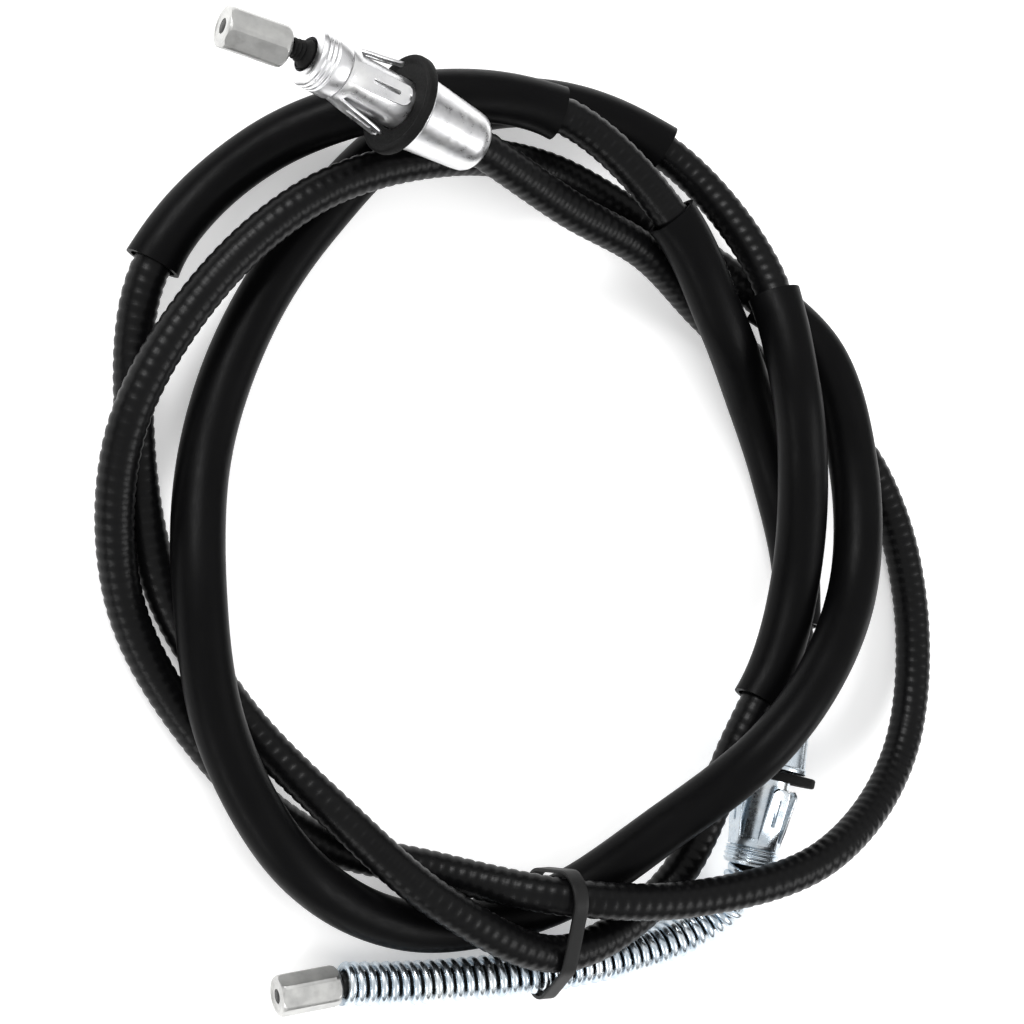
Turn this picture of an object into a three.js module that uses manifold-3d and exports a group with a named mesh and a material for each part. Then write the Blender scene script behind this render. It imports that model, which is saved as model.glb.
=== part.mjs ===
// Parking brake cable: a sheathed wire rope with an end fitting and a swaged ferrule at each end,
// loose protective sleeves, a return spring, and a tie that holds the coil for storage.
// Millimetres, +Z up. The coil lies on z = 0, and the origin is under the middle of its outline.
import * as THREE from "three";
import { mergeVertices } from "three/addons/utils/BufferGeometryUtils.js";
import Module from "manifold-3d";

const wasm = await Module();
wasm.setup();

// Running gap between pieces that touch on the real cable
const clearance = 0.3;

// Conduit, from the outside in
const jacketRadius = 5;
const jacketWall = 0.85;
const armourWall = 0.9;
const linerRadius = 2.45;
const linerWall = 0.45;
const wireRadius = 1.6;
const conduitSides = 8;
const ringSpacing = 0.4; // the least between a sleeve end and a station, of a station's step

// Loose sleeves over the conduit
const sleeveRadius = 6.7;
const sleeveGap = 0.5;

// Coil: one pair for each station, clockwise seen from above, from +Y on: distance from the
// middle of the coil, and height of the conduit's centre line
const stationStep = 20;
const laps = [
  [
    [82, 23], [77, 16], [75, 8.5], [81.5, 5.3], [104, 5.3], [120, 5.3], [129, 11], [120, 26.2], [107, 27.5],
    [98.5, 25.3], [97, 10.2], [105, 5.3], [110, 5.3], [117, 6.5], [120, 16], [114, 19], [108, 20.5], [100, 18.5],
  ],
  [
    [94, 9], [87, 7.2], [89, 7], [92, 19], [91, 20], [87, 27], [80, 37], [78.5, 38.7], [86, 24],
    [102, 9.7], [112.5, 8.5], [114, 18], [108, 18.5], [101, 17.5], [97, 9.5], [97, 7], [101, 7], [109.5, 7],
  ],
  [
    [112, 7.5], [107, 9], [91, 22.5], [74, 31], [71, 25.5], [71, 22.6], [73, 23.3], [78.5, 23.6], [104, 14],
    [114, 19], [104.5, 22.4], [97, 16], [98, 5.4], [106, 5.3], [114, 5.3], [126, 7.2], [124, 9.5], [116, 20.8],
  ],
  [[106, 22.2], [85, 27], [71, 23], [69.5, 13.2], [72.5, 8.2], [78.2, 10]],
];

// Sleeves: clock angles of their two ends, counted on from lap to lap
const sleeves = [
  { name: "sleeve_long", from: 407, to: 739 },
  { name: "sleeve_side", from: 765, to: 851 },
  { name: "sleeve_upper", from: 1021, to: 1078 },
  { name: "sleeve_rear", from: 1099, to: 1192 },
];

// End fittings: middle of the washer's front face, and the way from there to the conduit
const frontPlace = { at: [-55, 103.5, 38.5], heading: -18.5, pitch: -14, roll: 20 };
const rearPlace = { at: [66, -71, 13.4], heading: 76, pitch: 0, roll: 0 };
const noseLength = 25;
const noseRadius = 7;
const noseCollarLength = 6;
const bodyRadius = 5.9;
const flangeRadius = 10.1;
const flangeLength = 6.2;
const barrelLength = 18.5;
const barrelEndRadius = 7.6;
const conduitSeat = 12;
const straightLead = 7;
const sealBoreRadius = 3.6;
const sealBoreDepth = 4;

// Spring-steel retaining clip on the nose
const fingerCount = 4;
const fingerWidth = 5;
const fingerThickness = 0.9;
const fingerLength = 15;
const fingerFlare = 3.2;
const fingerSlotWidth = 1.8;
const clipRingLength = 2.6;

// Rubber washer and wire seal
const washerRadius = 13.1;
const washerThickness = 2;
const washerLip = 0.7;
const sealLength = 9;
const sealTipRadius = 2.5;

// Ferrules: middle of the front face, and the way from there along the wire
const ferruleLength = 18.5;
const ferruleRadius = 5.45;
const ferruleFlats = 9.9;
const frontFerrule = { at: [-104, 117, 48.4], heading: -13, pitch: -4, roll: 10 };
const rearFerrule = { at: [-76.5, -121.6, 5.8], heading: 5, pitch: 0, roll: 30 };

// Wire between the rear fitting and the rear ferrule, inside the return spring
const rearRoute = [
  [56.5, -104, 10.5], [53, -108.5, 8], [45, -113, 6.7], [33, -116.5, 6.9], [18, -118.7, 8],
  [2, -119.9, 9.1], [-12, -120.6, 8.3], [-27, -120.9, 6.9], [-41, -120.7, 6.3],
];
const springRadius = 6;
const springWire = 0.95;
const springPitch = 3;

// Tie round the whole bundle
const tieX = -1;
const tieWidth = 4;
const tieThickness = 1;
const tieTail = { length: 12, drop: 3 };

// Middle of the coil's outline in the coordinates above
const outlineMiddle = { x: 0.039, y: -3.07 };
const lowest = -0.02;

const black = { color: 0x1b1b1c, metalness: 0 };
const finishes = {
  jacket: new THREE.MeshStandardMaterial({ ...black, roughness: 0.42 }),
  sleeve: new THREE.MeshStandardMaterial({ ...black, roughness: 0.5 }),
  rubber: new THREE.MeshStandardMaterial({ ...black, roughness: 0.8 }),
  liner: new THREE.MeshStandardMaterial({ color: 0xd9d8d0, metalness: 0, roughness: 0.4 }),
  steel: new THREE.MeshStandardMaterial({ color: 0x8d9092, metalness: 0.9, roughness: 0.35 }),
  zinc: new THREE.MeshStandardMaterial({ color: 0xd5d9dc, metalness: 0.95, roughness: 0.25 }),
};

const cable = new THREE.Group();
cable.position.set(-outlineMiddle.x, -outlineMiddle.y, -lowest);

function addPiece(name, geometry, material, parent = cable) {
  const piece = new THREE.Mesh(geometry, material);
  piece.name = name;
  parent.add(piece);
}

// Booleans

function toSolid(geometry) {
  const bare = geometry.clone();
  bare.deleteAttribute("normal");
  bare.deleteAttribute("uv");
  const merged = mergeVertices(bare, 1e-4);
  const mesh = new wasm.Mesh({
    numProp: 3,
    vertProperties: new Float32Array(merged.attributes.position.array),
    triVerts: new Uint32Array(merged.index.array),
  });
  return new wasm.Manifold(mesh);
}

function fromSolid(solid) {
  const mesh = solid.getMesh();
  const geometry = new THREE.BufferGeometry();
  geometry.setAttribute("position", new THREE.BufferAttribute(mesh.vertProperties, 3));
  geometry.setIndex(new THREE.BufferAttribute(mesh.triVerts, 1));
  const flat = geometry.toNonIndexed();
  flat.computeVertexNormals();
  return flat;
}

// Turned pieces: pairs of radius and place along the axis, and the loop closes on itself
function turned(profile, sides = 18) {
  const points = profile.map(([radius, place]) => new THREE.Vector2(radius, place));
  points.push(points[0].clone());
  return new THREE.LatheGeometry(points, sides);
}

// A group whose +Y runs along a heading and a pitch in degrees
function placed({ at, heading, pitch, roll }) {
  const group = new THREE.Group();
  group.position.set(...at);
  const turn = new THREE.Quaternion().setFromUnitVectors(new THREE.Vector3(0, 1, 0), direction({ heading, pitch }));
  const spin = new THREE.Quaternion().setFromAxisAngle(
    new THREE.Vector3(0, 1, 0),
    THREE.MathUtils.degToRad(roll),
  );
  group.quaternion.multiplyQuaternions(turn, spin);
  cable.add(group);
  return group;
}

function direction({ heading, pitch }) {
  const turn = THREE.MathUtils.degToRad(heading);
  const rise = THREE.MathUtils.degToRad(pitch);
  return new THREE.Vector3(Math.cos(turn) * Math.cos(rise), Math.sin(turn) * Math.cos(rise), Math.sin(rise));
}

// A point on a fitting's or a ferrule's axis
function along(place, distance) {
  return new THREE.Vector3(...place.at).addScaledVector(direction(place), distance);
}

// Routes

const fittingTail = washerThickness + clearance + flangeLength + barrelLength;
const seatPlace = fittingTail - conduitSeat;

function coilStations() {
  return laps.flat().map(([radius, height], index) => {
    const angle = THREE.MathUtils.degToRad(index * stationStep);
    return new THREE.Vector3(radius * Math.sin(angle), radius * Math.cos(angle), height);
  });
}

// Rings across a curve, each with one axis level, so that layers laid on the same rings stay apart
function ringAt(point, tangent) {
  const level = new THREE.Vector3(0, 0, 1).cross(tangent).normalize();
  const rise = new THREE.Vector3().crossVectors(tangent, level);
  return { point, tangent, normal: level, binormal: rise };
}

function ringsAlong(curve, places) {
  return places.map((place) => ringAt(curve.getPoint(place), curve.getTangent(place)));
}

// A path through given rings, which an extrusion follows ring by ring
class RingPath extends THREE.Curve {
  constructor(rings) {
    super();
    this.rings = rings;
  }
  getSpacedPoints() {
    return this.rings.map((ring) => ring.point);
  }
  computeFrenetFrames() {
    return {
      tangents: this.rings.map((ring) => ring.tangent),
      normals: this.rings.map((ring) => ring.normal),
      binormals: this.rings.map((ring) => ring.binormal),
    };
  }
}

function polygon(radius, sides) {
  const points = [];
  for (let side = 0; side < sides; side += 1) {
    const angle = (side / sides) * 2 * Math.PI;
    points.push(new THREE.Vector2(radius * Math.cos(angle), radius * Math.sin(angle)));
  }
  return points;
}

function tube(rings, outer, inner = 0, sides = conduitSides) {
  const section = new THREE.Shape(polygon(outer, sides));
  if (inner > 0) {
    section.holes.push(new THREE.Path(polygon(inner, sides)));
  }
  return new THREE.ExtrudeGeometry(section, {
    steps: rings.length - 1,
    extrudePath: new RingPath(rings),
    bevelEnabled: false,
  });
}

const conduitPoints = [
  along(frontPlace, seatPlace),
  along(frontPlace, fittingTail),
  ...coilStations(),
  along(rearPlace, fittingTail + straightLead),
  along(rearPlace, fittingTail),
  along(rearPlace, seatPlace),
];
const conduitCurve = new THREE.CatmullRomCurve3(conduitPoints, false, "centripetal");
const lastStation = conduitPoints.length - 1;
const stationOf = (clockAngle) => 2 + clockAngle / stationStep;

// The conduit's rings: one at each sleeve end, and one at each station that isn't close to a sleeve end
const sleeveEnds = sleeves.flatMap(({ from, to }) => [stationOf(from), stationOf(to)]);
const conduitStations = [...sleeveEnds];
for (let station = 0; station <= lastStation; station += 1) {
  if (sleeveEnds.every((end) => Math.abs(end - station) > ringSpacing)) {
    conduitStations.push(station);
  }
}
conduitStations.sort((a, b) => a - b);
const conduitRings = ringsAlong(
  conduitCurve,
  conduitStations.map((station) => station / lastStation),
);

// Layers of the conduit
const armourRadius = jacketRadius - jacketWall - clearance;
addPiece("conduit_jacket", tube(conduitRings, jacketRadius, jacketRadius - jacketWall), finishes.jacket);
addPiece("conduit_armour", tube(conduitRings, armourRadius, armourRadius - armourWall), finishes.steel);
addPiece("conduit_liner", tube(conduitRings, linerRadius, linerRadius - linerWall, 6), finishes.liner);

for (const { name, from, to } of sleeves) {
  const first = conduitStations.indexOf(stationOf(from));
  const last = conduitStations.indexOf(stationOf(to));
  const rings = conduitRings.slice(first, last + 1);
  addPiece(name, tube(rings, sleeveRadius, jacketRadius + sleeveGap), finishes.sleeve);
}

// Wire rope, from end to end
const wireBore = wireRadius + 0.4;
const sealBase = -noseLength + sealBoreDepth - clearance;
const sealTip = sealBase - sealLength;
const frontWireCurve = new THREE.CatmullRomCurve3(
  [
    along(frontFerrule, 1),
    along(frontFerrule, ferruleLength - 1),
    along(frontPlace, sealTip + 1),
    along(frontPlace, sealBase),
    along(frontPlace, 0),
    along(frontPlace, seatPlace),
  ],
  false,
  "centripetal",
);
const rearWirePoints = [
  along(rearPlace, seatPlace),
  along(rearPlace, 0),
  along(rearPlace, sealBase),
  along(rearPlace, sealTip),
  ...rearRoute.map((point) => new THREE.Vector3(...point)),
  along(rearFerrule, ferruleLength),
  along(rearFerrule, 1),
];
const rearWireCurve = new THREE.CatmullRomCurve3(rearWirePoints, false, "centripetal");
const evenly = (count) => Array.from({ length: count + 1 }, (_, index) => index / count);
const wireRings = [
  ...ringsAlong(frontWireCurve, evenly(5)).slice(0, -1),
  ...conduitRings,
  ...ringsAlong(rearWireCurve, evenly(rearWirePoints.length - 1)).slice(1),
];
addPiece("inner_wire_rope", tube(wireRings, wireRadius, 0, 6), finishes.steel);

// End fitting: nose with three grooves, plain body, flange and tapered crimp barrel, bored through
function fittingGeometry() {
  const noseFront = -noseLength;
  const collarEnd = noseFront + noseCollarLength;
  const flangeFront = washerThickness + clearance;
  const flangeBack = flangeFront + flangeLength;
  const edge = 0.8;
  const groove = 0.45;
  const profile = [[sealBoreRadius, noseFront], [noseRadius - edge, noseFront], [noseRadius, noseFront + edge]];
  for (const place of [1.7, 3.2, 4.7]) {
    profile.push([noseRadius, noseFront + place - groove], [noseRadius - groove, noseFront + place]);
    profile.push([noseRadius, noseFront + place + groove]);
  }
  profile.push(
    [noseRadius, collarEnd],
    [bodyRadius, collarEnd + 0.3],
    [bodyRadius, flangeFront],
    [flangeRadius - edge / 2, flangeFront],
    [flangeRadius, flangeFront + edge / 2],
    [flangeRadius, flangeBack - edge / 2],
    [flangeRadius - edge, flangeBack],
    [barrelEndRadius, fittingTail - 1.4],
    [barrelEndRadius - 1.1, fittingTail],
    [jacketRadius + 0.45, fittingTail],
    [jacketRadius + 0.45, seatPlace - clearance],
    [wireBore, seatPlace - clearance],
    [wireBore, noseFront + sealBoreDepth],
    [sealBoreRadius, noseFront + sealBoreDepth],
  );
  return turned(profile);
}

// Retaining clip: a ring behind the nose collar with fingers that flare back to the washer
function clipGeometry() {
  const ringFront = -noseLength + noseCollarLength + 0.3 + clearance;
  const ringInner = bodyRadius + clearance;
  const ringOuter = ringInner + fingerThickness;
  const ringBack = ringFront + clipRingLength;
  let clip = toSolid(
    turned([[ringInner, ringFront], [ringOuter, ringFront], [ringOuter, ringBack], [ringInner, ringBack]]),
  );
  const slope = fingerFlare / fingerLength;
  const side = new THREE.Shape();
  const root = ringFront + 0.6;
  const tip = ringFront + fingerLength;
  side.moveTo(ringInner, root);
  side.lineTo(ringOuter, root);
  side.lineTo(ringOuter + slope * clipRingLength, ringBack);
  side.lineTo(ringOuter + fingerFlare, tip - 2);
  side.lineTo(ringOuter + fingerFlare - 0.4, tip);
  side.lineTo(ringInner + fingerFlare - 0.4, tip);
  side.lineTo(ringInner + fingerFlare - 0.2, tip - 2);
  side.lineTo(ringInner + 0.05, ringBack);
  const strip = new THREE.ExtrudeGeometry(side, { depth: fingerWidth, bevelEnabled: false });
  strip.translate(0, 0, -fingerWidth / 2);
  const slotStart = ringBack + 2.2;
  const slotEnd = tip - 3;
  const slot = new THREE.BoxGeometry(3 * noseRadius, slotEnd - slotStart, fingerSlotWidth);
  slot.translate(1.5 * noseRadius, (slotStart + slotEnd) / 2, 0);
  for (let finger = 0; finger < fingerCount; finger += 1) {
    const angle = (finger / fingerCount) * 2 * Math.PI;
    const blade = toSolid(strip.clone().rotateY(angle));
    clip = clip.add(blade).subtract(toSolid(slot.clone().rotateY(angle)));
  }
  return fromSolid(clip);
}

// Rubber washer with a raised lip at its rim
function washerGeometry() {
  const inner = bodyRadius + clearance;
  return turned(
    [
      [inner, 0],
      [washerRadius - 2.2, 0],
      [washerRadius - 1.2, -washerLip],
      [washerRadius - 0.4, -washerLip],
      [washerRadius, -washerLip + 0.5],
      [washerRadius, washerThickness - 0.4],
      [washerRadius - 0.4, washerThickness],
      [inner, washerThickness],
    ],
    24,
  );
}

// Seal on the wire, its foot held in the nose
function sealGeometry() {
  const foot = sealBoreRadius - clearance;
  return turned(
    [
      [wireBore, sealTip],
      [sealTipRadius, sealTip],
      [sealTipRadius, sealTip + 2],
      [foot, sealTip + 4.2],
      [foot, sealBase],
      [wireBore, sealBase],
    ],
    14,
  );
}

for (const [end, place] of [["front", frontPlace], ["rear", rearPlace]]) {
  const fitting = placed(place);
  addPiece(`${end}_end_fitting`, fittingGeometry(), finishes.zinc, fitting);
  addPiece(`${end}_retaining_clip`, clipGeometry(), finishes.zinc, fitting);
  addPiece(`${end}_rubber_washer`, washerGeometry(), finishes.rubber, fitting);
  addPiece(`${end}_wire_seal`, sealGeometry(), finishes.rubber, fitting);
}

// Swaged ferrule: round at the front, pressed to six flats, tapered at the wire
function ferruleGeometry() {
  const bore = wireBore;
  const round = toSolid(
    turned(
      [
        [bore, 0],
        [ferruleRadius - 1.1, 0],
        [ferruleRadius - 0.35, 0.4],
        [ferruleRadius, 1.3],
        [ferruleRadius, ferruleLength - 3.4],
        [bore + 1.3, ferruleLength],
        [bore, ferruleLength],
      ],
      20,
    ),
  );
  const flats = new THREE.CylinderGeometry(1, 1, ferruleLength + 2, 6);
  const corner = ferruleFlats / 2 / Math.cos(Math.PI / 6);
  flats.scale(corner, 1, corner);
  flats.translate(0, ferruleLength / 2, 0);
  return fromSolid(round.intersect(toSolid(flats)));
}

addPiece("front_ferrule", ferruleGeometry(), finishes.zinc, placed(frontFerrule));
addPiece("rear_ferrule", ferruleGeometry(), finishes.zinc, placed(rearFerrule));

// Return spring, wound round the rear wire from the nose to the ferrule
function springGeometry() {
  const start = along(rearPlace, -noseLength - clearance - springWire);
  const end = along(rearFerrule, ferruleLength + clearance + springWire);
  const route = rearRoute.map((point) => new THREE.Vector3(...point));
  const axis = new THREE.CatmullRomCurve3([start, ...route, end], false, "centripetal");
  const length = axis.getLength();
  const turns = Math.round(length / springPitch);
  const perTurn = 7;
  const mean = springRadius - springWire;
  const points = [];
  const centres = [];
  for (let step = 0; step <= turns * perTurn; step += 1) {
    const share = step / (turns * perTurn);
    const ring = ringAt(axis.getPointAt(share), axis.getTangentAt(share));
    const angle = (step / perTurn) * 2 * Math.PI;
    const point = ring.point.clone();
    point.addScaledVector(ring.normal, mean * Math.cos(angle));
    point.addScaledVector(ring.binormal, mean * Math.sin(angle));
    points.push(point);
    centres.push(ring.point);
  }
  const rings = points.map((point, index) => {
    const before = points[Math.max(0, index - 1)];
    const after = points[Math.min(points.length - 1, index + 1)];
    const tangent = new THREE.Vector3().subVectors(after, before).normalize();
    const outward = new THREE.Vector3().subVectors(point, centres[index]);
    outward.addScaledVector(tangent, -outward.dot(tangent)).normalize();
    const binormal = new THREE.Vector3().crossVectors(tangent, outward);
    return { point, tangent, normal: outward, binormal };
  });
  return tube(rings, springWire, 0, 4);
}

addPiece("return_spring", springGeometry(), finishes.zinc);

// Tie: a band on the outline of the strands that cross its plane, with a twisted tail
function tieGeometry() {
  // A strand's section by a face of the band is as wide as the strand's slope makes it
  const strands = [];
  const addStrand = (curve, places, x, radius) => {
    const crossing = places.reduce((best, place) =>
      Math.abs(curve.getPoint(place).x - x) < Math.abs(curve.getPoint(best).x - x) ? place : best,
    );
    strands.push({ centre: curve.getPoint(crossing), radius: radius / Math.abs(curve.getTangent(crossing).x) });
  };
  for (const x of [tieX - tieWidth / 2, tieX + tieWidth / 2]) {
    for (const clockAngle of [180, 540, 900]) {
      const covered = sleeves.some(({ from, to }) => from < clockAngle && clockAngle < to);
      const places = evenly(160).map((share) => stationOf(clockAngle - 40 + 80 * share) / lastStation);
      addStrand(conduitCurve, places, x, covered ? sleeveRadius : jacketRadius);
    }
    addStrand(rearWireCurve, evenly(400).slice(160), x, springRadius);
  }
  const outline = (margin) => {
    const rim = [];
    for (const { centre, radius } of strands) {
      for (const { x, y } of polygon(radius + margin, 24)) {
        rim.push(new THREE.Vector2(centre.y + x, centre.z + y));
      }
    }
    return hull(rim);
  };
  const inner = outline(2.5 * clearance);
  const outer = outline(2.5 * clearance + tieThickness);
  const band = new THREE.Shape(outer);
  band.holes.push(new THREE.Path(inner));
  const ring = new THREE.ExtrudeGeometry(band, { depth: tieWidth, bevelEnabled: false });
  // The shape's plane becomes the plane across the bundle
  const across = new THREE.Matrix4().makeBasis(
    new THREE.Vector3(0, 1, 0),
    new THREE.Vector3(0, 0, 1),
    new THREE.Vector3(1, 0, 0),
  );
  ring.applyMatrix4(across).translate(tieX - tieWidth / 2, 0, 0);
  return ring;
}

// Convex outline of points in a plane
function hull(points) {
  const sorted = [...points].sort((a, b) => a.x - b.x || a.y - b.y);
  const turn = (o, a, b) => (a.x - o.x) * (b.y - o.y) - (a.y - o.y) * (b.x - o.x);
  const chainOf = (list) => {
    const chain = [];
    for (const point of list) {
      while (chain.length > 1 && turn(chain.at(-2), chain.at(-1), point) <= 1e-9) {
        chain.pop();
      }
      chain.push(point);
    }
    return chain.slice(0, -1);
  };
  return [...chainOf(sorted), ...chainOf(sorted.reverse())];
}

addPiece("bundle_tie", tieGeometry(), finishes.rubber);

export default cable;
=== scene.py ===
import bpy
import math
from mathutils import Matrix, Vector


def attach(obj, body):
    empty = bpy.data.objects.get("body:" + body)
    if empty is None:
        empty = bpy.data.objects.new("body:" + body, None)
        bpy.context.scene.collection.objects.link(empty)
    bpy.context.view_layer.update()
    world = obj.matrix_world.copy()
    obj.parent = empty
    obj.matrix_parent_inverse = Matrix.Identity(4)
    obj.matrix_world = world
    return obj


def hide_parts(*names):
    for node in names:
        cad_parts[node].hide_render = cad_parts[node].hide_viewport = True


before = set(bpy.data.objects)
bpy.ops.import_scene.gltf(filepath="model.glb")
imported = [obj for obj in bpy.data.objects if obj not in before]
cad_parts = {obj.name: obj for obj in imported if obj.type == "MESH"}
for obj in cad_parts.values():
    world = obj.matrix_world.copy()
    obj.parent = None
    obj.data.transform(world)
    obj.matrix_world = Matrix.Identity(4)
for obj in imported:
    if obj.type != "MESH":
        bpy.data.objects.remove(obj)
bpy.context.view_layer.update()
bpy.ops.object.select_all(action="DESELECT")

fullTurn = 2 * math.pi
perSpan = 24  # samples between two points of a route

# middle of the coil's outline and the lowest point, taken off every place below
outline = Vector((0.000039, -0.00307, -0.00002))

# the coil: distance from the middle and height of the centre line, every 20 degrees, clockwise from +Y
coil = {
    "step": 20,
    "laps": [
        (0.082, 0.023), (0.077, 0.016), (0.075, 0.0085), (0.0815, 0.0053), (0.104, 0.0053), (0.12, 0.0053),
        (0.129, 0.011), (0.12, 0.0262), (0.107, 0.0275), (0.0985, 0.0253), (0.097, 0.0102), (0.105, 0.0053),
        (0.11, 0.0053), (0.117, 0.0065), (0.12, 0.016), (0.114, 0.019), (0.108, 0.0205), (0.1, 0.0185),

        (0.094, 0.009), (0.087, 0.0072), (0.089, 0.007), (0.092, 0.019), (0.091, 0.02), (0.087, 0.027),
        (0.08, 0.037), (0.0785, 0.0387), (0.086, 0.024), (0.102, 0.0097), (0.1125, 0.0085), (0.114, 0.018),
        (0.108, 0.0185), (0.101, 0.0175), (0.097, 0.0095), (0.097, 0.007), (0.101, 0.007), (0.1095, 0.007),

        (0.112, 0.0075), (0.107, 0.009), (0.091, 0.0225), (0.074, 0.031), (0.071, 0.0255), (0.071, 0.0226),
        (0.073, 0.0233), (0.0785, 0.0236), (0.104, 0.014), (0.114, 0.019), (0.1045, 0.0224), (0.097, 0.016),
        (0.098, 0.0054), (0.106, 0.0053), (0.114, 0.0053), (0.126, 0.0072), (0.124, 0.0095), (0.116, 0.0208),

        (0.106, 0.0222), (0.085, 0.027), (0.071, 0.023), (0.0695, 0.0132), (0.0725, 0.0082), (0.0782, 0.01),
    ],
}

# the way of each fitting is from its washer to the conduit, and of each ferrule from its front to the wire
# nosePast and sealPast are what the front nose and its seal stand out past the rear ones
frontPlace = {
    "name": "front", "at": (-0.055, 0.1035, 0.0385), "heading": -18.5, "pitch": -14, "roll": 2,
    "nosePast": 0.0042, "sealPast": 0.0036,
}
rearPlace = {
    "name": "rear", "at": (0.066, -0.071, 0.0134), "heading": 76, "pitch": 0, "roll": 0,
    "nosePast": 0.0, "sealPast": 0.0,
}
frontEnd = {"at": (-0.104, 0.117, 0.0484), "heading": -13, "pitch": -4, "roll": 10, "name": "front"}
rearEnd = {"at": (-0.0753, -0.1215, 0.0058), "heading": 5.5, "pitch": 0, "roll": 30, "name": "rear"}
rearWay = [
    (0.0565, -0.104, 0.0105), (0.053, -0.1085, 0.008), (0.045, -0.113, 0.0067), (0.033, -0.1165, 0.0069),
    (0.018, -0.1187, 0.008), (0.002, -0.1199, 0.0091), (-0.012, -0.1206, 0.0083), (-0.027, -0.1209, 0.0069),
    (-0.041, -0.1207, 0.0063),
]


# routes

def wayOf(place):
    heading, pitch = math.radians(place["heading"]), math.radians(place["pitch"])
    return Vector((math.cos(heading) * math.cos(pitch), math.sin(heading) * math.cos(pitch), math.sin(pitch)))


def along(place, distance):
    return Vector(place["at"]) + wayOf(place) * distance


def smoothLine(points):
    # centripetal spline through the points, closely sampled
    ends = [2 * points[0] - points[1], *points, 2 * points[-1] - points[-2]]
    line = []
    for a, b, c, d in zip(ends, ends[1:], ends[2:], ends[3:]):
        stepA, stepB, stepC = ((q - p).length ** 0.5 for p, q in ((a, b), (b, c), (c, d)))
        slopeB = (b - a) / stepA - (c - a) / (stepA + stepB) + (c - b) / stepB
        slopeC = (c - b) / stepB - (d - b) / (stepB + stepC) + (d - c) / stepC
        slopeB, slopeC = slopeB * stepB, slopeC * stepB
        for step in range(perSpan):
            t = step / perSpan
            line.append(
                (2 * t**3 - 3 * t**2 + 1) * b + (t**3 - 2 * t**2 + t) * slopeB
                + (3 * t**2 - 2 * t**3) * c + (t**3 - t**2) * slopeC
            )
    line.append(points[-1].copy())
    return line


def evenly(line, spacing):
    # the same line with its points at an even distance
    lengths = [0.0]
    for a, b in zip(line, line[1:]):
        lengths.append(lengths[-1] + (b - a).length)
    count = max(2, round(lengths[-1] / spacing))
    points, span = [], 0
    for step in range(count + 1):
        want = lengths[-1] * step / count
        while span < len(line) - 2 and lengths[span + 1] < want:
            span += 1
        share = (want - lengths[span]) / max(lengths[span + 1] - lengths[span], 1e-9)
        points.append(line[span].lerp(line[span + 1], min(share, 1)))
    return points


def lengthOf(points):
    return sum((b - a).length for a, b in zip(points, points[1:]))


fitting = {
    "nose": 0.025, "noseRadius": 0.0076, "collar": 0.0046, "body": 0.0064, "barrelTrim": 0.0014,
    "washer": 0.002, "gap": 0.0003, "rim": 0.0014, "flange": 0.0062, "flangeRadius": 0.0101,
    "barrel": 0.0185, "barrelRadius": 0.0076, "seat": 0.012, "lead": 0.007, "sealBore": 0.0036,
    "sealSeat": 0.004, "sealLength": 0.009, "wireBore": 0.002, "grooves": (0.0018, 0.0031, 0.0044),
}
tail = fitting["washer"] + fitting["gap"] + fitting["flange"] + fitting["barrel"]
seat = tail - fitting["seat"]

stations = []
for index, (radius, height) in enumerate(coil["laps"]):
    angle = math.radians(index * coil["step"])
    stations.append(Vector((radius * math.sin(angle), radius * math.cos(angle), height)))
conduitStations = [
    along(frontPlace, seat), along(frontPlace, tail), *stations,
    along(rearPlace, tail + fitting["lead"]), along(rearPlace, tail), along(rearPlace, seat),
]
conduitLine = smoothLine(conduitStations)
restHeight = 0.0051 + outline.z  # the conduit lies on the floor and not in it
for point in conduitLine:
    point.z = max(point.z, restHeight)


def stretch(fromAngle, toAngle):
    # the conduit's line between two clock angles, counted on from lap to lap
    first, last = (round((2 + angle / coil["step"]) * perSpan) for angle in (fromAngle, toAngle))
    return conduitLine[first:last + 1]


sealBase = -fitting["nose"] + fitting["sealSeat"] - fitting["gap"]
sealTip = sealBase - fitting["sealLength"]
ferrule = {"length": 0.017, "radius": 0.00545, "flats": 0.0099, "bore": 0.0019}
frontWire = smoothLine([
    along(frontEnd, 0.0006), along(frontEnd, ferrule["length"] - 0.001), along(frontPlace, sealTip + 0.001),
    along(frontPlace, sealBase), along(frontPlace, 0), along(frontPlace, seat),
])
rearWire = smoothLine([
    along(rearPlace, seat), along(rearPlace, 0), along(rearPlace, sealBase), along(rearPlace, sealTip),
    *(Vector(point) for point in rearWay), along(rearEnd, ferrule["length"]), along(rearEnd, 0.0006),
])
print("routes laid: conduit", round(lengthOf(conduitLine), 3), "m")


# camera and light

view = {
    "tilt": 25, "away": 0.65, "target": (-0.013, 0.0025, 0.015), "sensor": 36, "focalPixels": 2470,
    "picturePixels": 1024, "nearest": 0.01,
}
lights = [
    {"name": "keyLight", "place": (-0.5, 0.75, 0.8), "size": (0.5, 0.35), "watts": 9},
    {"name": "fillLight", "place": (0.75, -0.5, 0.75), "size": (0.6, 0.4), "watts": 5},
    {"name": "lowLight", "place": (-0.7, -0.65, 0.35), "size": (0.5, 0.25), "watts": 2.5},
]
studio = {
    "aim": (0, 0, 0.02), "floorSize": 60, "floorShade": 0.93, "floorRoughness": 0.9, "floorGlow": 0.35,
    # brightness of the surround by the height of the look, from the table to straight up
    "tent": [(0.0, 0.03), (0.22, 0.05), (0.42, 0.8), (0.75, 0.95), (1.0, 0.75)],
}


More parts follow.
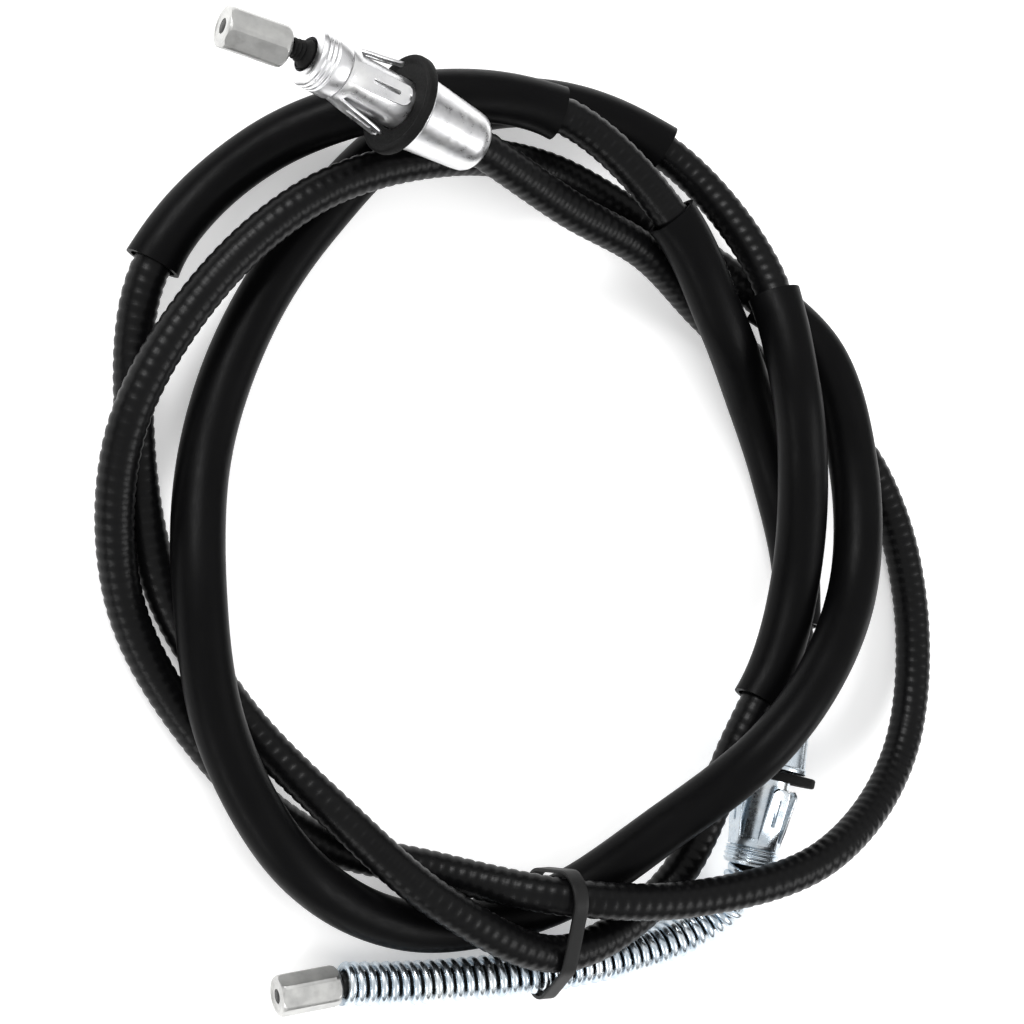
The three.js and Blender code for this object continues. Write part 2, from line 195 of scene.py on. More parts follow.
def makeCamera():
    tilt = math.radians(view["tilt"])
    target = Vector(view["target"]) - outline
    bpy.ops.object.camera_add(
        location=target + view["away"] * Vector((-math.sin(tilt), 0, math.cos(tilt))), rotation=(0, -tilt, 0)
    )
    camera = bpy.context.object
    camera.name = "photoCamera"
    camera.data.sensor_width = view["sensor"]
    camera.data.lens = view["sensor"] * view["focalPixels"] / view["picturePixels"]
    camera.data.clip_start = view["nearest"]
    bpy.context.scene.camera = camera


def addLight(name, place, size, watts):
    bpy.ops.object.light_add(type="AREA", location=place)
    light = bpy.context.object
    light.name = name
    light.data.shape = "RECTANGLE"
    light.data.size, light.data.size_y = size
    light.data.energy = watts
    light.rotation_euler = (Vector(studio["aim"]) - Vector(place)).to_track_quat("-Z", "Y").to_euler()


def makeStudio():
    for light in lights:
        addLight(**light)
    world = bpy.context.scene.world or bpy.data.worlds.new("studio")
    bpy.context.scene.world = world
    world.use_nodes = True
    # a bright tent overhead with a dark surround at table height, for the streaks in the plating
    nodes, links = world.node_tree.nodes, world.node_tree.links
    look, split, tent = (
        nodes.new(kind) for kind in ("ShaderNodeTexCoord", "ShaderNodeSeparateXYZ", "ShaderNodeValToRGB")
    )
    links.new(look.outputs["Generated"], split.inputs[0])
    links.new(split.outputs["Z"], tent.inputs["Fac"])
    links.new(tent.outputs["Color"], nodes["Background"].inputs["Color"])
    while len(tent.color_ramp.elements) < len(studio["tent"]):
        tent.color_ramp.elements.new(0.5)
    for element, (height, level) in zip(tent.color_ramp.elements, studio["tent"]):
        element.position, element.color = height, (level, level, level, 1)
    nodes["Background"].inputs["Strength"].default_value = 1.0
    bpy.context.scene.view_settings.view_transform = "Standard"

    bpy.ops.mesh.primitive_plane_add(size=studio["floorSize"], location=(0, 0, 0))
    floor = bpy.context.object
    floor.name = "studioFloor"
    floor.data.materials.append(paperFinish())


def paperFinish():
    # white paper, lit from below enough to leave only faint shadows
    material = bpy.data.materials.new("palePaper")
    material.use_nodes = True
    shader = material.node_tree.nodes["Principled BSDF"]
    shader.inputs["Base Color"].default_value = (*[studio["floorShade"]] * 3, 1)
    shader.inputs["Roughness"].default_value = studio["floorRoughness"]
    shader.inputs["Specular IOR Level"].default_value = 0.1
    shader.inputs["Emission Color"].default_value = (1, 1, 1, 1)
    shader.inputs["Emission Strength"].default_value = studio["floorGlow"]
    return material


makeCamera()
makeStudio()
print("camera and studio light placed")


# finishes

class Finish:
    # a Principled material and short ways to add its pattern nodes
    def __init__(self, name, **settings):
        self.material = bpy.data.materials.new(name)
        self.material.use_nodes = True
        self.tree = self.material.node_tree
        self.shader = self.tree.nodes["Principled BSDF"]
        for label, value in settings.items():
            self.shader.inputs[label.replace("_", " ")].default_value = value

    def add(self, kind, **links):
        node = self.tree.nodes.new(kind)
        for label, socket in links.items():
            self.tree.links.new(socket, node.inputs[label])
        return node

    def place(self, kind, scale=(1, 1, 1)):
        coordinates = self.add("ShaderNodeTexCoord")
        mapping = self.add("ShaderNodeMapping", Vector=coordinates.outputs[kind])
        mapping.inputs["Scale"].default_value = scale
        return mapping.outputs[0]

    def noise(self, vector, scale, detail=4.0, roughness=0.55):
        node = self.add("ShaderNodeTexNoise", Vector=vector)
        node.inputs["Scale"].default_value = scale
        node.inputs["Detail"].default_value = detail
        node.inputs["Roughness"].default_value = roughness
        return node.outputs["Fac"]

    def ramp(self, value, stops):
        # each stop is a position and a grey or a colour
        node = self.add("ShaderNodeValToRGB", Fac=value)
        elements = node.color_ramp.elements
        while len(elements) < len(stops):
            elements.new(0.5)
        for element, (position, colour) in zip(elements, stops):
            element.position = position
            element.color = (*colour, 1) if isinstance(colour, tuple) else (colour, colour, colour, 1)
        return node.outputs["Color"]

    def join(self, socket, label):
        self.tree.links.new(socket, self.shader.inputs[label])

    def bump(self, heights, distance, strength):
        # heights lie one on the other, each with its share of the distance
        normal = None
        for height, share in heights:
            node = self.add("ShaderNodeBump", Height=height)
            node.inputs["Distance"].default_value = distance * share
            node.inputs["Strength"].default_value = strength
            if normal is not None:
                self.tree.links.new(normal, node.inputs["Normal"])
            normal = node.outputs["Normal"]
        self.join(normal, "Normal")


def plastic(name, colours, roughness, specular, grain, streaks):
    # extruded plastic: cloudy colour, fine grain, and streaks of gloss along the cord
    finish = Finish(name, Specular_IOR_Level=specular)
    around = finish.place("UV", (40, 6, 1))
    body = finish.place("Object")
    long = finish.noise(around, streaks, 5)
    fine = finish.noise(body, grain, 6, 0.6)
    cloud = finish.noise(body, 55, 3)
    finish.join(finish.ramp(cloud, [(0.3, colours[0]), (0.72, colours[1])]), "Base Color")
    finish.join(finish.ramp(long, [(0.3, roughness[0]), (0.7, roughness[1])]), "Roughness")
    finish.bump([(fine, 1), (long, 1.6)], 0.00004, 0.5)
    return finish.material


def plated(name, tints, roughness, marks):
    # zinc plate: uneven passivation tint, fine turning marks and small dull patches
    finish = Finish(name, Metallic=1.0)
    body = finish.place("Object")
    cloud = finish.noise(body, 120, 4, 0.6)
    patch = finish.noise(body, 420, 5, 0.65)
    fine = finish.noise(body, 2600, 3, 0.5)
    finish.join(finish.ramp(cloud, [(0.32, tints[0]), (0.5, tints[1]), (0.7, tints[2])]), "Base Color")
    finish.join(finish.ramp(patch, [(0.35, roughness[0]), (0.7, roughness[1])]), "Roughness")
    finish.bump([(patch, 1), (fine, 0.5)], marks, 0.5)
    return finish.material


def rubberFinish():
    finish = Finish("blackRubber", Specular_IOR_Level=0.14)
    body = finish.place("Object")
    cloud = finish.noise(body, 160, 4)
    fine = finish.noise(body, 1900, 5, 0.65)
    finish.join(finish.ramp(cloud, [(0.3, 0.003), (0.75, 0.006)]), "Base Color")
    finish.join(finish.ramp(fine, [(0.3, 0.6), (0.7, 0.8)]), "Roughness")
    finish.bump([(fine, 1), (cloud, 2)], 0.00006, 0.6)
    return finish.material


finishes = {
    "cover": plastic(
        "coverPlastic", ((0.002, 0.002, 0.0022), (0.0032, 0.0032, 0.0034)), (0.28, 0.4), 0.13, 1500, 8
    ),
    "sleeve": plastic(
        "sleevePlastic", ((0.0018, 0.0018, 0.002), (0.0028, 0.0028, 0.003)), (0.34, 0.46), 0.06, 1100, 6
    ),
    "coating": plastic(
        "wireCoating", ((0.004, 0.004, 0.004), (0.007, 0.007, 0.007)), (0.35, 0.5), 0.25, 2600, 5
    ),
    "tie": plastic(
        "tiePlastic", ((0.006, 0.006, 0.006), (0.011, 0.011, 0.011)), (0.45, 0.6), 0.25, 1800, 4
    ),
    "liner": plastic(
        "linerPlastic", ((0.72, 0.71, 0.66), (0.8, 0.79, 0.75)), (0.3, 0.4), 0.4, 900, 4
    ),
    "armour": plated(
        "armourSteel", ((0.3, 0.3, 0.31), (0.38, 0.38, 0.39), (0.45, 0.45, 0.46)), (0.4, 0.55), 0.00003
    ),
    "cutSteel": plated(
        "cutSteel", ((0.02, 0.02, 0.02), (0.045, 0.045, 0.045), (0.1, 0.1, 0.095)), (0.4, 0.6), 0.00006
    ),
    "bright": plated(
        "brightZinc", ((0.64, 0.64, 0.65), (0.76, 0.76, 0.77), (0.84, 0.84, 0.83)), (0.26, 0.4), 0.000016
    ),
    "blue": plated(
        "blueZinc", ((0.5, 0.58, 0.65), (0.66, 0.73, 0.79), (0.8, 0.83, 0.84)), (0.2, 0.34), 0.00003
    ),
    "ferrule": plated(
        "ferruleZinc", ((0.36, 0.36, 0.35), (0.48, 0.48, 0.47), (0.58, 0.58, 0.56)), (0.3, 0.46), 0.00005
    ),
    "rubber": rubberFinish(),
}
print("finishes mixed:", len(finishes))


# making tools

def take(piece, finish, slot, *nodes):
    # a finished piece: it rides on the cable, has its finish and stands for its CAD nodes
    if finish is not None:
        piece.data.materials.clear()
        piece.data.materials.append(finishes[finish])
    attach(piece, "root")
    if nodes:
        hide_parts(*nodes)
    return piece


def shade(piece, degrees=35):
    bpy.ops.object.select_all(action="DESELECT")
    piece.select_set(True)
    bpy.context.view_layer.objects.active = piece
    bpy.ops.object.shade_smooth_by_angle(angle=math.radians(degrees))


def ringOf(points, index):
    # the way of a line at one of its points, with a level axis and a rising one across it
    ahead, behind = points[min(index + 1, len(points) - 1)], points[max(index - 1, 0)]
    way = (ahead - behind).normalized()
    level = Vector((0, 0, 1)).cross(way).normalized()
    return way, level, way.cross(level)


def tube(name, points, radiusAt, segments, wall=None):
    # rings along a line, open where it has a wall; radiusAt takes the distance and the turn round
    # the line, from 0 to 1, which are also its texture coordinates
    verts, faces, uvs = [], [], []
    spacing = lengthOf(points) / (len(points) - 1)
    layers = [radiusAt]
    if wall is not None:
        layers.append(lambda distance, turn: radiusAt(distance, turn) - wall)
    for layer in layers:
        for index, point in enumerate(points):
            way, level, rise = ringOf(points, index)
            for segment in range(segments):
                turn = segment / segments
                radius = layer(index * spacing, turn)
                angle = fullTurn * turn
                verts.append(
                    point - outline + level * (radius * math.cos(angle)) + rise * (radius * math.sin(angle))
                )
    rings = len(points)

    def quad(a, b, c, d, u0, u1, v0, v1):
        faces.append((a, b, c, d))
        uvs.extend([(u0, v0), (u0, v1), (u1, v1), (u1, v0)])

    for layer in range(len(layers)):
        base = layer * rings * segments
        for index in range(rings - 1):
            u0, u1 = index * spacing, (index + 1) * spacing
            for segment in range(segments):
                after = (segment + 1) % segments
                a, b = base + index * segments + segment, base + index * segments + after
                c, d = b + segments, a + segments
                if layer:
                    a, b, c, d = b, a, d, c
                quad(a, b, c, d, u0, u1, segment / segments, (segment + 1) / segments)
    for index, flip in ((0, True), (rings - 1, False)):
        u = index * spacing
        if wall is None:
            ring = [index * segments + segment for segment in range(segments)]
            faces.append(tuple(reversed(ring)) if flip else tuple(ring))
            uvs.extend([(u, segment / segments) for segment in range(segments)])
            continue
        for segment in range(segments):
            after = (segment + 1) % segments
            outer, outerNext = index * segments + segment, index * segments + after
            inner, innerNext = outer + rings * segments, outerNext + rings * segments
            ring = (outer, inner, innerNext, outerNext) if flip else (outer, outerNext, innerNext, inner)
            quad(*ring, u, u, segment / segments, (segment + 1) / segments)
    mesh = bpy.data.meshes.new(name)
    mesh.from_pydata(verts, [], faces)
    layer = mesh.uv_layers.new(name="UVMap")
    layer.data.foreach_set("uv", [value for uv in uvs for value in uv])
    piece = bpy.data.objects.new(name, mesh)
    bpy.context.collection.objects.link(piece)
    shade(piece, 50)
    return piece


def startPiece(name):
    # the piece that Blender has just made, under its own name
    piece = bpy.context.object
    piece.name = piece.data.name = name
    return piece


def turned(name, profile, segments=64, bevel=0.00012):
    # a closed ring profile of radius and place, drawn out from a circle ring by ring
    bpy.ops.object.select_all(action="DESELECT")
    radius, place = profile[0]
    bpy.ops.mesh.primitive_circle_add(vertices=segments, radius=radius, location=(0, 0, 0))
    piece = startPiece(name)
    bpy.ops.object.mode_set(mode="EDIT")
    bpy.ops.mesh.select_mode(type="VERT")
    bpy.ops.mesh.select_all(action="SELECT")
    bpy.ops.transform.translate(value=(0, 0, place))
    for nextRadius, nextPlace in [*profile[1:], profile[0]]:
        bpy.ops.mesh.extrude_region_move(TRANSFORM_OT_translate={"value": (0, 0, nextPlace - place)})
        ratio = nextRadius / radius
        bpy.ops.transform.resize(value=(ratio, ratio, 1), center_override=(0, 0, nextPlace))
        radius, place = nextRadius, nextPlace
    bpy.ops.mesh.select_all(action="SELECT")
    bpy.ops.mesh.remove_doubles(threshold=1e-6)
    bpy.ops.mesh.normals_make_consistent(inside=False)
    bpy.ops.object.mode_set(mode="OBJECT")
    if bevel:
        roundEdges(piece, bevel, 28)
    return piece


def finishWith(piece, kind, **settings):
    # one modifier, applied at once
    bpy.ops.object.select_all(action="DESELECT")
    piece.select_set(True)
    bpy.context.view_layer.objects.active = piece
    modifier = piece.modifiers.new(kind.lower(), kind)
    for label, value in settings.items():
        setattr(modifier, label, value)
    bpy.ops.object.modifier_apply(modifier=modifier.name)


def roundEdges(piece, width, degrees, segments=2):
    # a small round on every edge that turns more than the angle
    angle = math.radians(degrees)
    finishWith(piece, "BEVEL", width=width, segments=segments, limit_method="ANGLE", angle_limit=angle)


def keepCommon(piece, tool):
    # what the piece and the tool share
    finishWith(piece, "BOOLEAN", operation="INTERSECT", object=tool, solver="EXACT")
    bpy.data.objects.remove(tool, do_unlink=True)


def joinAll(name, pieces):
    bpy.ops.object.select_all(action="DESELECT")
    for piece in pieces:
        piece.select_set(True)
    bpy.context.view_layer.objects.active = pieces[0]
    bpy.ops.object.join()
    return startPiece(name)


def seatPiece(piece, place, smooth=32):
    # from its own axis to its place on the cable, with the object left at the origin
    way = wayOf(place)
    level = Vector((0, 0, 1)).cross(way).normalized()
    turn = Matrix((level, way.cross(level), way)).transposed()
    roll = Matrix.Rotation(math.radians(place["roll"]), 3, "Z")
    whole = Matrix.Translation(Vector(place["at"]) - outline) @ (turn @ roll).to_4x4()
    piece.data.transform(piece.matrix_basis)
    piece.matrix_basis = Matrix.Identity(4)
    piece.data.transform(whole)
    shade(piece, smooth)
    return piece


# conduit and its layers

conduit = {
    "radius": 0.005, "ribPitch": 0.003, "ribDepth": 0.0003, "grooveWidth": 0.17,
    "spacing": 0.00075, "segments": 20,
}
innerLayers = {
    "armour": 0.0038, "armourWall": 0.0009, "liner": 0.00245, "linerWall": 0.0005,
    "spacing": 0.006, "segments": 12,
}
conduitPath = evenly(conduitLine, conduit["spacing"])


def ribbed(distance, turn):
    # the wound strip below shows as a flat-topped rib with a narrow groove, one turn to the pitch
    phase = (distance / conduit["ribPitch"] + turn) % 1
    groove = math.exp(-(((phase - 0.5) / conduit["grooveWidth"]) ** 2))
    return conduit["radius"] - conduit["ribDepth"] * groove


cover = tube("conduitCover", conduitPath, ribbed, conduit["segments"])
take(cover, "cover", "jacket", "conduit_jacket")

innerPath = evenly(conduitLine, innerLayers["spacing"])
for layer in ("armour", "liner"):
    layerTube = tube(
        f"{layer}Tube", innerPath, lambda distance, turn: innerLayers[layer], innerLayers["segments"],
        wall=innerLayers[f"{layer}Wall"],
    )
    take(layerTube, layer, layer, f"conduit_{layer}")
print("conduit made:", len(cover.data.polygons), "faces")

# loose sleeves

sleeves = {
    "radius": 0.0067, "wall": 0.0012, "spacing": 0.002, "segments": 40,
    "flare": 0.0007, "flareReach": 0.005,  # the cut ends are a little flattened
    "oval": 0.00012, "ovalDrift": 21, "wave": 0.0001, "waves": (95, 37), "waveStart": 2.1,
    "pieces": [
        ("sleeveLong", "sleeve_long", 407, 739), ("sleeveSide", "sleeve_side", 765, 851),
        ("sleeveUpper", "sleeve_upper", 1021, 1078), ("sleeveRear", "sleeve_rear", 1099, 1192),
    ],
}


def makeSleeve(name, node, fromAngle, toAngle):
    points = evenly(stretch(fromAngle, toAngle), sleeves["spacing"])
    length = lengthOf(points)

    def loose(distance, turn):
        # not quite round, and a little fuller here and there
        oval = sleeves["oval"] * math.sin(fullTurn * 2 * turn + distance * sleeves["ovalDrift"])
        quick, slow = sleeves["waves"]
        wave = sleeves["wave"] * math.sin(distance * quick + sleeves["waveStart"]) * math.sin(distance * slow)
        end = min(distance, length - distance)
        flat = sleeves["flare"] * math.cos(fullTurn * 2 * turn) * math.exp(-end / sleeves["flareReach"])
        return sleeves["radius"] + oval + wave + flat

    piece = tube(name, points, loose, sleeves["segments"], wall=sleeves["wall"])
    return take(piece, "sleeve", "sleeve", node)


sleevePieces = [makeSleeve(*entry) for entry in sleeves["pieces"]]
print("sleeves made:", len(sleevePieces))

# wire rope

rope = {"radius": 0.0016, "strands": 7, "lay": 0.022, "depth": 0.00022, "spacing": 0.0012, "segments": 28}


def stranded(distance, turn):
    phase = (turn + distance / rope["lay"]) * rope["strands"]
    return rope["radius"] - rope["depth"] * (1 - abs(math.cos(math.pi * phase)))


ropePath = evenly([*frontWire[:-1], *conduitLine, *rearWire[1:]], rope["spacing"])


def makeRopeEnd(place):
    # the cut and swaged end of the strands, just inside the front of a ferrule
    radius = ferrule["bore"] + 0.0001
    profile = [
        (0.0001, 0.0001), (radius * 0.55, 0.0002), (radius * 0.85, 0.0004), (radius, 0.0008),
        (0.0001, 0.0012),
    ]
    piece = turned(f"{place['name']}RopeEnd", profile, 36, bevel=0)
    seatPiece(piece, place, 60)
    piece.data.materials.append(finishes["cutSteel"])
    return piece


ropeBody = tube("ropeBody", ropePath, stranded, rope["segments"])
ropeBody.data.materials.append(finishes["coating"])
ropePiece = joinAll("wireRope", [ropeBody, makeRopeEnd(frontEnd), makeRopeEnd(rearEnd)])
take(ropePiece, None, "rope", "inner_wire_rope")
print("rope made:", round(lengthOf(ropePath), 3), "m")


# end fittings

def makeFitting(place, finish):
    nose, radius, body = -fitting["nose"], fitting["noseRadius"], fitting["body"]
    front, mouth = nose - place["nosePast"], fitting["sealBore"] + 0.0009
    rimBack, back = fitting["washer"] + fitting["gap"] + fitting["rim"], tail - fitting["barrelTrim"]
    flangeFront = fitting["washer"] + fitting["gap"]
    flange, barrel = fitting["flangeRadius"], fitting["barrelRadius"]
    profile = [
        (mouth, front), (radius - 0.0013, front), (radius - 0.0006, front + 0.00025),
        (radius - 0.0001, front + 0.001),
    ]
    # scalloped grooves round the collar
    for groove in fitting["grooves"]:
        for share, depth in ((-1, 0), (-0.6, 0.55), (0, 0.8), (0.6, 0.55), (1, 0)):
            profile.append((radius - 0.0006 * depth, front + groove + 0.0005 * share))
    profile += [
        (radius, nose + fitting["collar"]), (body, nose + fitting["collar"] + 0.0003), (body, flangeFront),
        (flange - 0.0004, flangeFront), (flange, flangeFront + 0.0004), (flange, rimBack),
        (flange - 0.0004, rimBack + 0.0004), (barrel + 0.0004, back - 0.0036),
        (barrel + 0.0001, back - 0.0018), (barrel - 0.0004, back - 0.0008), (barrel - 0.0012, back - 0.0001),
        (barrel - 0.0018, back), (0.0054, back), (0.0054, seat), (fitting["wireBore"], seat),
        (fitting["wireBore"], nose + fitting["sealSeat"]), (fitting["sealBore"], nose + fitting["sealSeat"]),
        (mouth, nose + 0.0006),
    ]
    piece = turned(f"{place['name']}Fitting", profile, 96)
    seatPiece(piece, place)
    return take(piece, finish, "plated_steel", f"{place['name']}_end_fitting")


clip = {
    "count": 4, "width": 0.0058, "thickness": 0.0007, "length": 0.0172, "flare": 0.0022, "slot": 0.0012,
    "ring": 0.0026, "channel": 0.0006, "rows": 22, "columns": 10,
    # shares of a finger's length: its slot, counted from the middle, and its rounded tip
    "slotFrom": -0.12, "slotTo": 0.3, "tipFrom": 0.9, "tipRound": 0.5, "taper": 0.16, "bend": 1.5,
    "tipTuck": 0.0003,
}


def makeFinger(turn):
    # a strip bent up from the ring, open along its middle, with rounded corners at its tip
    ringFront = -fitting["nose"] + fitting["collar"] + 0.0003 + fitting["gap"]
    base = fitting["body"] + 0.0001 + clip["thickness"] / 2
    bpy.ops.object.select_all(action="DESELECT")
    bpy.ops.mesh.primitive_grid_add(
        x_subdivisions=clip["columns"], y_subdivisions=clip["rows"], size=1, location=(0, 0, 0)
    )
    piece = startPiece("finger")
    slotHalf = clip["slot"] / clip["width"] / 2
    bpy.ops.object.mode_set(mode="EDIT")
    bpy.ops.mesh.select_mode(type="FACE")
    bpy.ops.mesh.select_all(action="DESELECT")
    bpy.ops.object.mode_set(mode="OBJECT")
    for face in piece.data.polygons:
        x, y = face.center.x, face.center.y
        face.select = abs(x) < slotHalf and clip["slotFrom"] < y < clip["slotTo"]
    bpy.ops.object.mode_set(mode="EDIT")
    bpy.ops.mesh.delete(type="FACE")
    bpy.ops.object.mode_set(mode="OBJECT")
    for vert in piece.data.vertices:
        across, run = vert.co.x, vert.co.y + 0.5
        pastTip = max(0, run - clip["tipFrom"]) / (1 - clip["tipFrom"])
        narrow = 1 - clip["taper"] * run - clip["tipRound"] * pastTip**2
        lift = clip["flare"] * (run ** clip["bend"]) - (clip["tipTuck"] if run > 0.97 else 0)
        edges = clip["channel"] * (2 * across) ** 2 * min(1, 3 * run)
        angle = across * clip["width"] * narrow / (base + lift) + turn
        radius, place = base + lift + edges, ringFront + 0.0006 + run * (clip["length"] - 0.0006)
        vert.co = (radius * math.cos(angle), radius * math.sin(angle), place)
    finishWith(piece, "SUBSURF", levels=1, render_levels=1, subdivision_type="SIMPLE")
    finishWith(piece, "SOLIDIFY", thickness=clip["thickness"], offset=0)
    roundEdges(piece, 0.00014, 40)
    return piece


def makeClip(place, finish):
    front = -fitting["nose"] + fitting["collar"] + 0.0003 + fitting["gap"]
    inside = fitting["body"] + 0.0001
    outside, back = inside + clip["thickness"], front + clip["ring"]
    ring = turned("clipRing", [(inside, front), (outside, front), (outside, back), (inside, back)], 64)
    fingers = [makeFinger(fullTurn * index / clip["count"]) for index in range(clip["count"])]
    piece = joinAll(f"{place['name']}Clip", [ring, *fingers])
    seatPiece(piece, place)
    return take(piece, finish, "plated_steel", f"{place['name']}_retaining_clip")


washer = {"radius": 0.0131, "lip": 0.0007}


def makeWasher(place):
    inside, outside = fitting["body"] + fitting["gap"], washer["radius"]
    thick, lip = fitting["washer"], washer["lip"]
    profile = [
        (inside, 0), (outside - 0.0024, 0), (outside - 0.0016, -lip * 0.7), (outside - 0.0011, -lip),
        (outside - 0.0005, -lip), (outside - 0.0001, -lip + 0.0003), (outside, -lip + 0.0006),
        (outside, thick - 0.0006), (outside - 0.0002, thick - 0.0002), (outside - 0.0006, thick),
        (inside, thick),
    ]
    piece = turned(f"{place['name']}Washer", profile, 72, bevel=0.0001)
    seatPiece(piece, place, 45)
    return take(piece, "rubber", "rubber", f"{place['name']}_rubber_washer")


def makeSeal(place):
    # a ribbed boot on the wire
    bore, foot, tip = fitting["wireBore"] - 0.0003, fitting["sealBore"] - fitting["gap"] / 2, 0.0024
    tipPlace = sealTip - place["sealPast"]
    profile = [(bore, tipPlace), (tip - 0.0004, tipPlace), (tip, tipPlace + 0.0003)]
    for ring in range(3):
        start = tipPlace + 0.0006 + ring * 0.0011
        radius = tip + ring * 0.0002
        profile += [
            (radius, start), (radius - 0.0004, start + 0.0003), (radius - 0.0004, start + 0.0006),
            (radius + 0.0002, start + 0.0009),
        ]
    profile += [
        (foot + 0.0003, tipPlace + 0.0046), (foot, tipPlace + 0.006), (foot, sealBase), (bore, sealBase),
    ]
    piece = turned(f"{place['name']}Seal", profile, 40, bevel=0.00008)
    seatPiece(piece, place, 45)
    return take(piece, "rubber", "rubber", f"{place['name']}_wire_seal")


def makeFerrule(place):
    radius, length, bore = ferrule["radius"], ferrule["length"], ferrule["bore"]
    profile = [
        (bore, 0.0003), (radius - 0.0019, 0.0002), (radius - 0.0016, 0), (radius - 0.0011, 0),
        (radius - 0.0005, 0.0003), (radius - 0.0001, 0.0009), (radius, 0.0016),
        (radius, length - 0.0018), (radius - 0.0003, length - 0.0009),
        (radius - 0.001, length - 0.0002), (radius - 0.0015, length), (bore, length),
    ]
    piece = turned(f"{place['name']}Ferrule", profile, 72, bevel=0)
    corner = ferrule["flats"] / 2 / math.cos(math.pi / 6)
    bpy.ops.object.select_all(action="DESELECT")
    bpy.ops.mesh.primitive_cylinder_add(
        vertices=6, radius=corner, depth=length + 0.004, location=(0, 0, length / 2)
    )
    flats = startPiece("flats")
    keepCommon(piece, flats)
    roundEdges(piece, 0.00022, 14, 3)
    seatPiece(piece, place, 30)
    return take(piece, "ferrule", "plated_steel", f"{place['name']}_ferrule")


endPieces = []
for place, end, finish in ((frontPlace, frontEnd, "bright"), (rearPlace, rearEnd, "blue")):
    endPieces += [makeFitting(place, finish), makeClip(place, finish)]
    endPieces += [makeWasher(place), makeSeal(place), makeFerrule(end)]
print("end fittings made:", len(endPieces), "pieces")

# return spring

spring = {
    "radius": 0.00585, "wire": 0.00112, "pitch": 0.003, "perTurn": 22, "segments": 10,
    "endShare": 0.45,  # pitch of the first and last turn, as a share of the others'
    "coverGap": 0.0003, "coverSegments": 24,
}


def closeEnds(line, turns):
    # places along the axis for each step of the helix; the turn at either end lies close against the next
    count = turns * spring["perTurn"]
    advance = [0.0]
    for step in range(count):
        fromEnd = min(step, count - 1 - step) / spring["perTurn"]
        advance.append(advance[-1] + (spring["endShare"] if fromEnd < 1 else 1))
    return [line[round(place / advance[-1] * (len(line) - 1))] for place in advance]


def makeSpring():
    start = along(rearPlace, -fitting["nose"] - fitting["gap"] - spring["wire"])
    end = along(rearEnd, ferrule["length"] + fitting["gap"] + spring["wire"])
    axis = smoothLine([start, *(Vector(point) for point in rearWay), end])
    turns = round(lengthOf(axis) / spring["pitch"]) + 1
    centres = closeEnds(evenly(axis, 0.0001), turns)
    mean = spring["radius"] - spring["wire"]
    points = []
    for index, centre in enumerate(centres):
        level, rise = ringOf(centres, index)[1:]
        angle = fullTurn * index / spring["perTurn"]
        points.append(centre + level * (mean * math.cos(angle)) + rise * (mean * math.sin(angle)))
    # rings of the wire itself: one axis away from the middle of the coil
    verts, faces = [], []
    count, sides = len(points), spring["segments"]
    for index, point in enumerate(points):
        way = (points[min(index + 1, count - 1)] - points[max(index - 1, 0)]).normalized()
        away = point - centres[index]
        away = (away - way * away.dot(way)).normalized()
        side = way.cross(away)
        for segment in range(sides):
            angle = fullTurn * segment / sides
            verts.append(point - outline + (away * math.cos(angle) + side * math.sin(angle)) * spring["wire"])
    for index in range(count - 1):
        for segment in range(sides):
            after = (segment + 1) % sides
            a, b = index * sides + segment, index * sides + after
            faces.append((a, b, b + sides, a + sides))
    faces.append(tuple(reversed(range(sides))))
    faces.append(tuple(range((count - 1) * sides, count * sides)))
    mesh = bpy.data.meshes.new("returnSpring")
    mesh.from_pydata(verts, [], faces)
    piece = bpy.data.objects.new("returnSpring", mesh)
    bpy.context.collection.objects.link(piece)
    shade(piece, 50)
    return take(piece, "blue", "plated_steel", "return_spring")


def makeWireCover():
    # black cover on the rear wire, which nearly fills the spring
    line = smoothLine([
        along(rearPlace, sealTip - 0.0005), *(Vector(point) for point in rearWay),
        along(rearEnd, ferrule["length"] + 0.0004),
    ])
    reach = spring["radius"] - 2 * spring["wire"] - spring["coverGap"]
    path = evenly(line, 0.0015)
    piece = tube("rearWireCover", path, lambda distance, turn: reach, spring["coverSegments"])
    return take(piece, "coating", "rope")


springPiece = makeSpring()
wireCover = makeWireCover()
print("return spring made:", len(springPiece.data.polygons), "faces")

# tie

tie = {"x": -0.001, "width": 0.004, "thickness": 0.001, "slack": 0.0006, "search": 36}


def strandAt(line, x):
    # where a strand crosses a plane, and how squarely
    best = min(line, key=lambda point: abs(point.x - x))
    index = line.index(best)
    way = ringOf(line, index)[0]
    return best, abs(way.x)


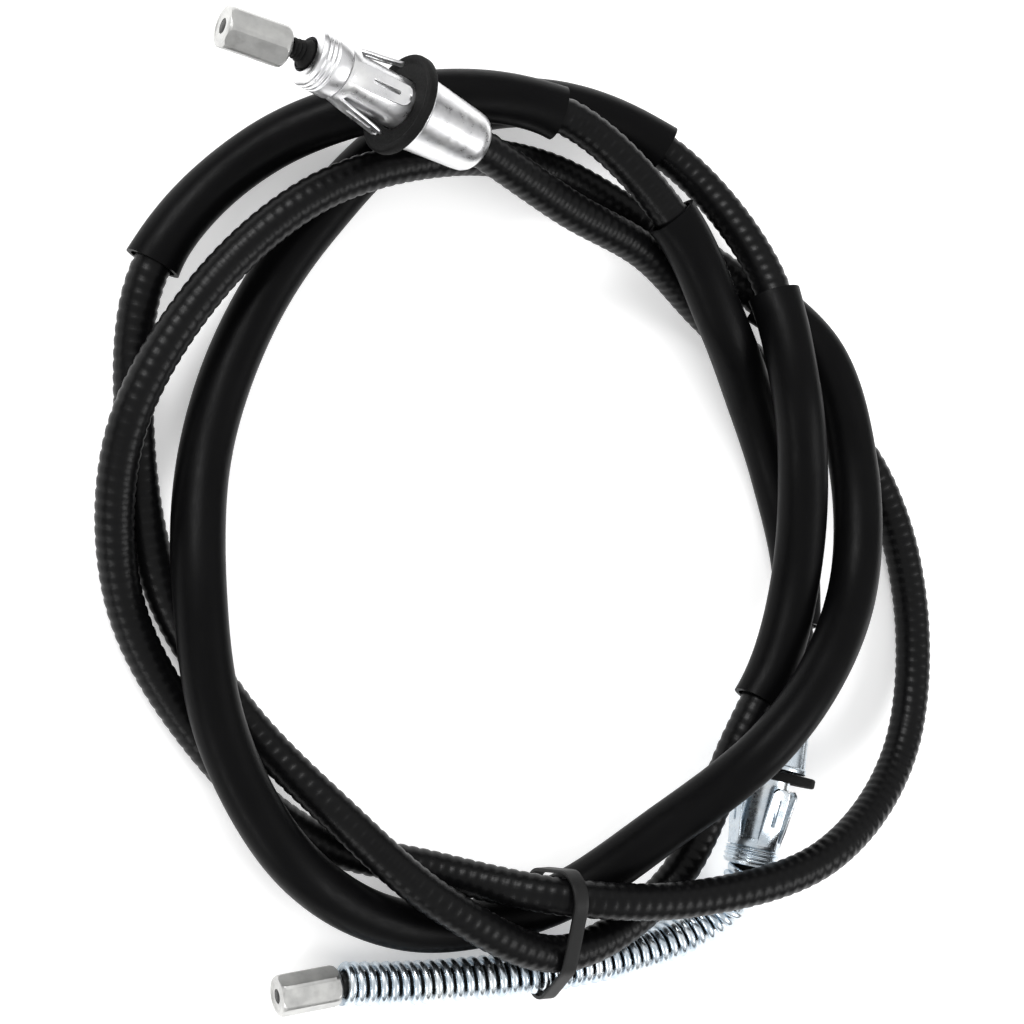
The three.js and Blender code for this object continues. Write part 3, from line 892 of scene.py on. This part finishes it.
def hullOf(points):
    # convex outline of points in a plane
    points = sorted(points)

    def half(ordered):
        chain = []
        for point in ordered:
            while len(chain) > 1:
                (ax, ay), (bx, by) = chain[-2], chain[-1]
                if (bx - ax) * (point[1] - ay) - (by - ay) * (point[0] - ax) > 0:
                    break
                chain.pop()
            chain.append(point)
        return chain[:-1]

    return half(points) + half(points[::-1])


def makeTie():
    ring = []
    for x in (tie["x"] - tie["width"] / 2, tie["x"] + tie["width"] / 2):
        strands = []
        for clock, radius in ((180, conduit["radius"]), (540, sleeves["radius"]), (900, conduit["radius"])):
            centre, slope = strandAt(stretch(clock - tie["search"], clock + tie["search"]), x)
            strands.append((centre, radius / slope))
        centre, slope = strandAt(rearWire[len(rearWire) // 3:], x)
        strands.append((centre, spring["radius"] / slope))
        for centre, radius in strands:
            for step in range(48):
                angle = fullTurn * step / 48
                reach = radius + tie["slack"]
                ring.append((centre.y + reach * math.cos(angle), centre.z + reach * math.sin(angle)))
    hull = [Vector((0, y, z)) for y, z in hullOf(ring)]
    hull.append(hull[0])
    outlinePoints = evenly(hull, 0.0012)[:-1]
    bpy.ops.object.select_all(action="DESELECT")
    bpy.ops.mesh.primitive_circle_add(vertices=len(outlinePoints), radius=0.01, location=(0, 0, 0))
    piece = startPiece("bundleTie")
    for vert, point in zip(piece.data.vertices, outlinePoints):
        vert.co = Vector((tie["x"] - tie["width"] / 2, point.y, point.z)) - outline
    bpy.ops.object.mode_set(mode="EDIT")
    bpy.ops.mesh.select_mode(type="VERT")
    bpy.ops.mesh.select_all(action="SELECT")
    for strip in range(4):
        bpy.ops.mesh.extrude_region_move(TRANSFORM_OT_translate={"value": (tie["width"] / 4, 0, 0)})
    bpy.ops.mesh.select_all(action="SELECT")
    bpy.ops.mesh.normals_make_consistent(inside=False)
    bpy.ops.object.mode_set(mode="OBJECT")
    finishWith(piece, "SOLIDIFY", thickness=tie["thickness"], offset=1)
    roundEdges(piece, 0.0002, 50)
    shade(piece, 40)
    return take(piece, "tie", "tie", "bundle_tie")


tiePiece = makeTie()
print("tie made")
